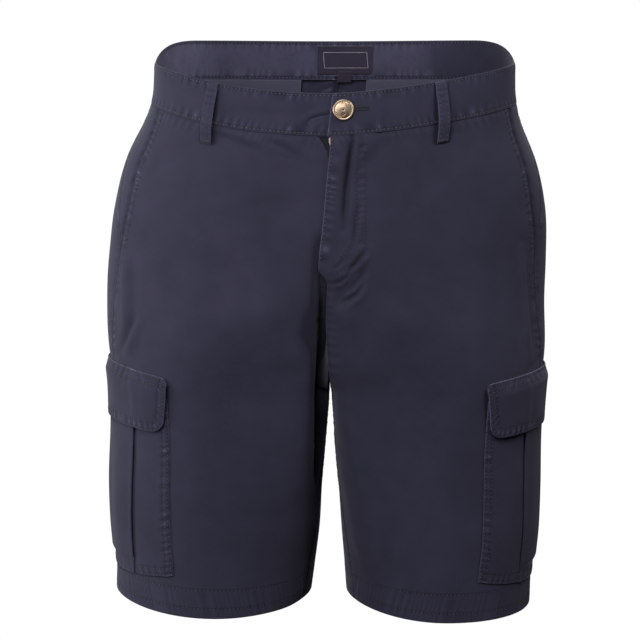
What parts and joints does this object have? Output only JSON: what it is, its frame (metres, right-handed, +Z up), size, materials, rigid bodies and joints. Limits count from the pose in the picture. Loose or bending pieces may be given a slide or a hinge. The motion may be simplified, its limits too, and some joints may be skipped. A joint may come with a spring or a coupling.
{
  "type": "cargo shorts",
  "caption": "Men's cotton twill cargo shorts, filled out and hollow: waistband with belt loops, button and zip fly, slant pockets, and flapped cargo pockets with a box pleat on the outer legs.",
  "frame": {"origin": "middle of the waist, level with the top edge of the waistband's front", "axes": "+Z up, -Y is the front, +X is the wearer's left"},
  "size_m": [0.4447, 0.2813, 0.5623],
  "materials": {
    "twill": "washed navy cotton twill, matt with a faint sheen",
    "pocket_cloth": "plain-weave pocket cotton, matt",
    "label_cloth": "woven satin label, bare",
    "zip_tape": "woven polyester tape",
    "brass": "antique rose brass, worn"
  },
  "bodies": {
    "shorts": {"back_left": "twill", "back_pocket_bag_left": "pocket_cloth", "back_pocket_bag_right": "pocket_cloth", "back_pocket_welt_left": "twill", "back_pocket_welt_right": "twill", "back_right": "twill", "belt_loop_back_left": "twill", "belt_loop_back_middle": "twill", "belt_loop_back_right": "twill", "belt_loop_front_left": "twill", "belt_loop_front_right": "twill", "button": "brass", "cargo_flap_left": "twill", "cargo_flap_right": "twill", "cargo_pocket_left": "twill", "cargo_pocket_right": "twill", "front_left": "twill", "front_right": "twill", "hip_facing_left": "twill", "hip_facing_right": "twill", "main_label": "label_cloth", "size_tab": "label_cloth", "waistband_back": "twill", "waistband_front_left": "twill", "waistband_front_right": "twill", "zip_slider": "brass", "zip_tape_left": "zip_tape", "zip_tape_right": "zip_tape"},
    "pull_tab": {"zip_pull_tab": "brass"}
  },
  "joints": [
    {"name": "pull_tab_hinge", "type": "hinge", "parent": "shorts", "child": "pull_tab", "pos_m": [0.00131, -0.12993, -0.0459], "axis": [-1, 0, 0], "range_deg": [0, 3.5]}
  ]
}
